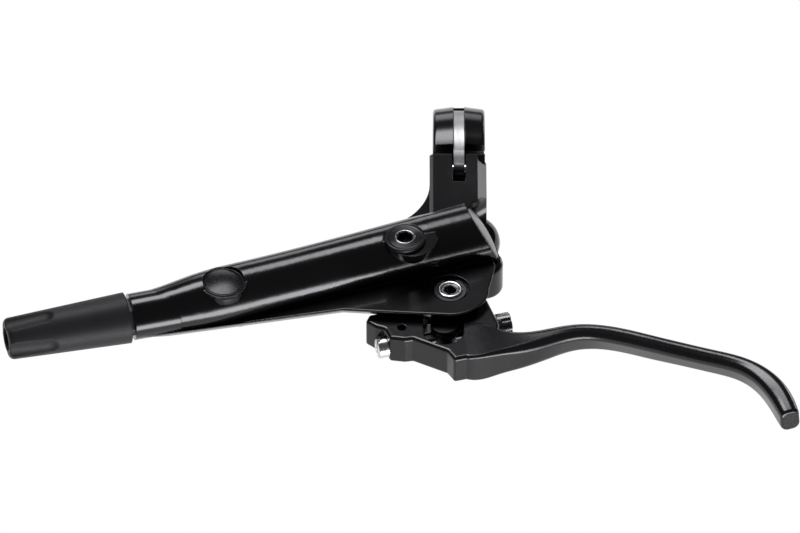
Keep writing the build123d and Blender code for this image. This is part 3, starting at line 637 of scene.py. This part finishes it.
def screw_section(size, low, top, radius):
    """Half section of the bleed screw, from its socket over the rings and down to the thread's end."""
    face = top - size.lip_height
    lip = size.lip_radius - size.lip_width / 2
    rows = socket_rows(size.socket, top - size.socket_depth, face, size.round_edge / 2)
    rows += bead(lip, lip + size.lip_width, face, size.lip_height)
    ring = lip + size.lip_width + size.ring_pitch / 2
    third = size.ring_pitch / 3
    while ring < radius - size.ring_pitch - size.round_edge:
        rows += [(ring, face), (ring + third / 2, face - size.ring_depth), (ring + third, face)]
        ring += size.ring_pitch
    under = top - size.screw_head
    groove = size.screw_thread + size.seal_width
    rows += rounded(radius, face, size.round_edge)
    rows += [(radius, under), (groove, under), (groove, under + size.seal_height)]
    rows += [(size.screw_thread, under + size.seal_height), (size.screw_thread, low), (0, low)]
    return rows


def axle_section(size, low, top, head):
    """Half section of the axle, from its socket over the rim, past the clip's groove and down to the head."""
    face = top - size.axle_crest
    outside = size.axle_radius
    inside = outside - size.clip_depth
    clip = top - size.clip_width
    shoulder = low + size.axle_head
    rows = socket_rows(size.axle_socket, top - size.axle_depth, face, size.round_edge / 2)
    rows += bead(outside - size.axle_rim, outside, face, size.axle_crest)
    rows += [(outside, clip), (inside, clip)]
    rows += [(inside, clip - size.clip_width), (outside, clip - size.clip_width)]
    rows += [(outside, shoulder), (head, shoulder), (head, low), (0, low)]
    return rows


def plug_section(size, low, top, radius):
    """Half section of the plug, from the top of its dome over the rim and down."""
    inside = radius - size.plug_rim
    rise = size.round_edge / 2
    base = top - size.plug_crown - rise
    rows = [(inside * part, top - size.plug_crown * part ** 2) for part in fractions(DOME_STEPS)]
    rows += bead(inside + rise / 2, radius, base, rise)
    rows += [(radius, low), (0, low)]
    return rows


def lathe(profile, centre):
    """Solid turned round an upright axis, from radius and height pairs that start and end on the axis."""
    shape = bmesh.new()
    points = [shape.verts.new((centre[0] + radius, centre[1], height)) for radius, height in profile]
    edges = [shape.edges.new(pair) for pair in zip(points, points[1:])]
    bmesh.ops.spin(
        shape, geom=points + edges, cent=(*centre, 0), axis=(0, 0, 1),
        angle=2 * pi, steps=LATHE_STEPS, use_merge=True,
    )
    bmesh.ops.remove_doubles(shape, verts=shape.verts, dist=MERGE_DISTANCE)
    bmesh.ops.recalc_face_normals(shape, faces=shape.faces)
    return shape


def turn(node, section, size):
    """Turned shape in the place of a CAD node."""
    low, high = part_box(node)
    return lathe(section(size, low.z, high.z, (high.x - low.x) / 2), middle_of(node))


def make_hexagon(shape, centre, radius, turned):
    """Moves the rings at a radius out to the hexagon round it."""
    for vertex in shape.verts:
        offset = vertex.co.xy - Vector(centre)
        if abs(offset.length - radius) < RING_TOLERANCE:
            angle = (atan2(offset.y, offset.x) - turned) % (pi / 3) - pi / 6
            vertex.co.xy = Vector(centre) + offset / cos(angle)


def cut_socket(shape, centre, width, size):
    """Makes a round socket and its chamfer six-sided."""
    for radius in (width / 2, width / 2 + size.round_edge / 2):
        make_hexagon(shape, centre, radius, size.socket_turn)


def show(shape, node, material):
    """Shows a shape in place of a CAD node, on the same body."""
    for face in shape.faces:
        face.smooth = True
    mesh = bpy.data.meshes.new(node + "_shown")
    shape.to_mesh(mesh)
    shape.free()
    mesh.set_sharp_from_angle(angle=SHARP_ANGLE)
    mesh.materials.append(material)
    item = bpy.data.objects.new(node + "_shown", mesh)
    bpy.context.scene.collection.objects.link(item)
    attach(item, "housing")
    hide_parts(node)
    return item


class BRAKELEVER_OT_body(Operator):
    """Paint the cast body and the clamp band, and finish the end cap"""

    bl_idname = "brakelever.body"
    bl_label = "Cast Body"

    def execute(self, context):
        look = context.scene.lever_finish
        dress(gloss_paint(look), "master_cylinder_body", "clamp_band")
        cap = plain_finish("cap_grey", look.cap_colour, roughness=0.36, bump=0.15, edge=look.edge_radius)
        dress(cap, "reservoir_end_cap")
        return {"FINISHED"}


class BRAKELEVER_OT_lever(Operator):
    """Finish the blade and the pieces of its reach adjustment"""

    bl_idname = "brakelever.lever"
    bl_label = "Lever Blade"

    def execute(self, context):
        look = context.scene.lever_finish
        dress(satin_black(look), "lever_blade")
        dress(two_tone_steel(look), "reach_adjust_screw")
        dress(barrel_metal(look, middle_of("reach_barrel_nut")), "reach_barrel_nut")
        dress(plain_finish("link_dark", LINK_DARK, roughness=0.4, metallic=0.6), "push_link")
        return {"FINISHED"}


class BRAKELEVER_OT_fittings(Operator):
    """Finish the metal fittings, seals and hidden pieces"""

    bl_idname = "brakelever.fittings"
    bl_label = "Fittings"

    def execute(self, context):
        look = context.scene.lever_finish
        dress(strap_steel(look), "clamp_strap")
        steel = plain_finish("plain_steel", BRIGHT_STEEL, roughness=0.28, metallic=1.0)
        dress(steel, "clamp_hinge_pin", "push_rod")
        edge = look.edge_radius / 2
        dark = plain_finish("black_oxide_steel", OXIDE_BLACK, roughness=0.36, metallic=0.7, edge=edge)
        dress(dark, "hose_nut", "axle_clip", "piston_circlip", "piston_stop_washer")
        dress(dark, "clamp_bolt", "clamp_bolt_washer")
        bronze = plain_finish("bearing_bronze", BRONZE, roughness=0.35, metallic=1.0)
        dress(bronze, "hose_olive", "link_bush", "upper_bush", "lower_bush")
        dress(plain_finish("piston_alloy", PISTON_ALLOY, roughness=0.3, metallic=1.0), "piston")
        seal = plain_finish("seal_rubber", SEAL_BLACK, roughness=0.65, bump=0.2)
        dress(seal, "reservoir_bladder", "bleed_o_ring", "primary_cup", "secondary_cup")
        return {"FINISHED"}


class BRAKELEVER_OT_bleed_screw(Operator):
    """Turn the bleed screw with its lip, face rings and hexagon socket"""

    bl_idname = "brakelever.bleed_screw"
    bl_label = "Bleed Screw"

    def execute(self, context):
        look = context.scene.lever_finish
        size = context.scene.lever_turned
        centre = middle_of("bleed_screw")
        shape = turn("bleed_screw", screw_section, size)
        cut_socket(shape, centre, size.socket, size)
        material = screw_steel(look, centre, size.lip_radius, size.lip_width)
        show(shape, "bleed_screw", material)
        return {"FINISHED"}


class BRAKELEVER_OT_axle(Operator):
    """Turn the lever's axle with its polished rim and hexagon socket"""

    bl_idname = "brakelever.axle"
    bl_label = "Lever Axle"

    def execute(self, context):
        look = context.scene.lever_finish
        size = context.scene.lever_turned
        centre = middle_of("lever_axle")
        shape = turn("lever_axle", axle_section, size)
        cut_socket(shape, centre, size.axle_socket, size)
        material = rimmed_steel(look, centre, size.axle_radius - size.axle_rim)
        show(shape, "lever_axle", material)
        return {"FINISHED"}


class BRAKELEVER_OT_plug(Operator):
    """Turn the reservoir plug with its raised rim and domed middle"""

    bl_idname = "brakelever.plug"
    bl_label = "Reservoir Plug"

    def execute(self, context):
        look = context.scene.lever_finish
        shape = turn("reservoir_plug", plug_section, context.scene.lever_turned)
        show(shape, "reservoir_plug", moulded_black(look))
        return {"FINISHED"}


class BRAKELEVER_OT_spring(Operator):
    """Show the return spring with its loose points merged"""

    bl_idname = "brakelever.spring"
    bl_label = "Return Spring"

    def execute(self, context):
        shape = bmesh.new()
        shape.from_mesh(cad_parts["return_spring"].data)
        bmesh.ops.remove_doubles(shape, verts=shape.verts, dist=MERGE_DISTANCE)
        shape.verts.ensure_lookup_table()
        steel = plain_finish("spring_steel", BRIGHT_STEEL, roughness=0.28, metallic=1.0)
        coil = show(shape, "return_spring", steel)
        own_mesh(coil)
        return {"FINISHED"}


class BRAKELEVER_OT_sleeve(Operator):
    """Finish the hose sleeve in matte rubber"""

    bl_idname = "brakelever.sleeve"
    bl_label = "Hose Sleeve"

    def execute(self, context):
        dress(sleeve_rubber(context.scene.lever_finish), "hose_sleeve")
        return {"FINISHED"}


def soften(lamp):
    """Fades a light towards its edges, as the cloth of a soft box does."""
    lamp.use_nodes = True
    nodes = lamp.node_tree.nodes
    links = lamp.node_tree.links
    spot = nodes.new("ShaderNodeSeparateXYZ")
    links.new(nodes.new("ShaderNodeNewGeometry").outputs["Parametric"], spot.inputs[0])
    both = nodes.new("ShaderNodeMath")
    both.operation = "MULTIPLY"
    for i, side in enumerate("XY"):
        inward = nodes.new("ShaderNodeMath")
        inward.operation = "PINGPONG"
        inward.inputs[1].default_value = HALF_WIDTH
        links.new(spot.outputs[side], inward.inputs[0])
        fade = nodes.new("ShaderNodeMapRange")
        fade.interpolation_type = "SMOOTHSTEP"
        fade.inputs["From Max"].default_value = FADE_WIDTH
        links.new(inward.outputs[0], fade.inputs["Value"])
        links.new(fade.outputs["Result"], both.inputs[i])
    links.new(both.outputs[0], nodes["Emission"].inputs["Strength"])


def light(name, aim, direction, size, power, tint):
    """Soft rectangular light that faces a point from a direction."""
    lamp = bpy.data.lights.new(name, "AREA")
    lamp.shape = "RECTANGLE"
    lamp.size, lamp.size_y = size
    lamp.energy = power
    lamp.color = tint
    soften(lamp)
    holder = bpy.data.objects.new(name, lamp)
    holder.location = aim + Vector(direction).normalized() * LIGHT_DISTANCE
    holder.rotation_euler = (aim - holder.location).to_track_quat("-Z", "Y").to_euler()
    bpy.context.scene.collection.objects.link(holder)


class BRAKELEVER_OT_stage(Operator):
    """Set the pale floor, the soft lights and the camera"""

    bl_idname = "brakelever.stage"
    bl_label = "Studio"

    def execute(self, context):
        scene = context.scene
        studio = scene.lever_studio
        centre = Vector(studio.target)
        self.floor(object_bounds()[0].z - studio.floor_drop)
        for name, direction, size, power in LIGHTS:
            light(name, centre, direction, size, getattr(studio, power), studio.tint)
        self.room(scene, studio)
        self.camera(scene, studio, centre)
        scene.view_settings.view_transform = "Standard"
        return {"FINISHED"}

    def floor(self, height):
        """White floor, bright to the camera and in reflections without lighting the part."""
        mesh = bpy.data.meshes.new("floor")
        plane = bmesh.new()
        bmesh.ops.create_grid(plane, x_segments=1, y_segments=1, size=FLOOR_HALF)
        bmesh.ops.translate(plane, verts=plane.verts, vec=(0, 0, height))
        plane.to_mesh(mesh)
        plane.free()
        ground = bpy.data.objects.new("floor", mesh)
        bpy.context.scene.collection.objects.link(ground)
        mix = Recipe("floor", FLOOR_WHITE, FLOOR_ROUGHNESS)
        path = mix.add("ShaderNodeLightPath").outputs
        seen = mix.math("MAXIMUM", path["Is Camera Ray"], path["Is Glossy Ray"])
        seen = mix.math("MAXIMUM", seen, path["Is Transmission Ray"])
        glow = mix.add("ShaderNodeEmission").outputs["Emission"]
        both = mix.add("ShaderNodeMixShader", {0: seen, 1: mix.shader.outputs["BSDF"], 2: glow})
        mix.links.new(both.outputs[0], mix.nodes["Material Output"].inputs["Surface"])
        mesh.materials.append(mix.material)
        ground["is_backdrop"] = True

    def room(self, scene, studio):
        """Weak even light from all round."""
        world = scene.world or bpy.data.worlds.new("studio")
        scene.world = world
        world.use_nodes = True
        backdrop = world.node_tree.nodes["Background"]
        backdrop.inputs["Color"].default_value = (*studio.tint, 1.0)
        backdrop.inputs["Strength"].default_value = studio.room

    def camera(self, scene, studio, centre):
        """Long lens at the photograph's viewing angle."""
        data = bpy.data.cameras.new("camera")
        data.lens = studio.lens
        distance = studio.frame_width * studio.lens / data.sensor_width
        back = Vector((0.0, -cos(studio.elevation), sin(studio.elevation)))
        holder = bpy.data.objects.new("camera", data)
        holder.location = centre + back * distance
        holder.rotation_euler = (-back).to_track_quat("-Z", "Y").to_euler()
        data.clip_end = distance * CLIP_RATIO
        scene.collection.objects.link(holder)
        scene.camera = holder


class BRAKELEVER_PT_panel(Panel):
    """Sidebar panel with the settings and the steps"""

    bl_idname = "BRAKELEVER_PT_panel"
    bl_label = "Brake Lever"
    bl_space_type = "VIEW_3D"
    bl_region_type = "UI"
    bl_category = "Brake Lever"

    def draw(self, context):
        for setting, group in SETTINGS.items():
            for name in group.__annotations__:
                self.layout.prop(getattr(context.scene, setting), name)
        for operator in OPERATORS:
            self.layout.operator(operator.bl_idname)


SETTINGS = {
    "lever_finish": LeverFinish,
    "lever_turned": LeverTurned,
    "lever_studio": LeverStudio,
}
OPERATORS = (
    BRAKELEVER_OT_body,
    BRAKELEVER_OT_lever,
    BRAKELEVER_OT_fittings,
    BRAKELEVER_OT_bleed_screw,
    BRAKELEVER_OT_axle,
    BRAKELEVER_OT_plug,
    BRAKELEVER_OT_spring,
    BRAKELEVER_OT_sleeve,
    BRAKELEVER_OT_stage,
)
CLASSES = (*SETTINGS.values(), *OPERATORS, BRAKELEVER_PT_panel)


def register():
    """Adds the classes and the settings."""
    for item in CLASSES:
        bpy.utils.register_class(item)
    for setting, group in SETTINGS.items():
        setattr(bpy.types.Scene, setting, PointerProperty(type=group))


def unregister():
    """Takes the settings and the classes away."""
    for setting in SETTINGS:
        delattr(bpy.types.Scene, setting)
    for item in reversed(CLASSES):
        bpy.utils.unregister_class(item)


def main():
    """Builds the looks on the frame."""
    register()
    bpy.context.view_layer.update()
    bpy.ops.brakelever.body()
    bpy.ops.brakelever.lever()
    bpy.ops.brakelever.fittings()
    bpy.ops.brakelever.bleed_screw()
    bpy.ops.brakelever.axle()
    bpy.ops.brakelever.plug()
    bpy.ops.brakelever.spring()
    bpy.ops.brakelever.sleeve()
    bpy.ops.brakelever.stage()


if __name__ == "__main__":
    main()
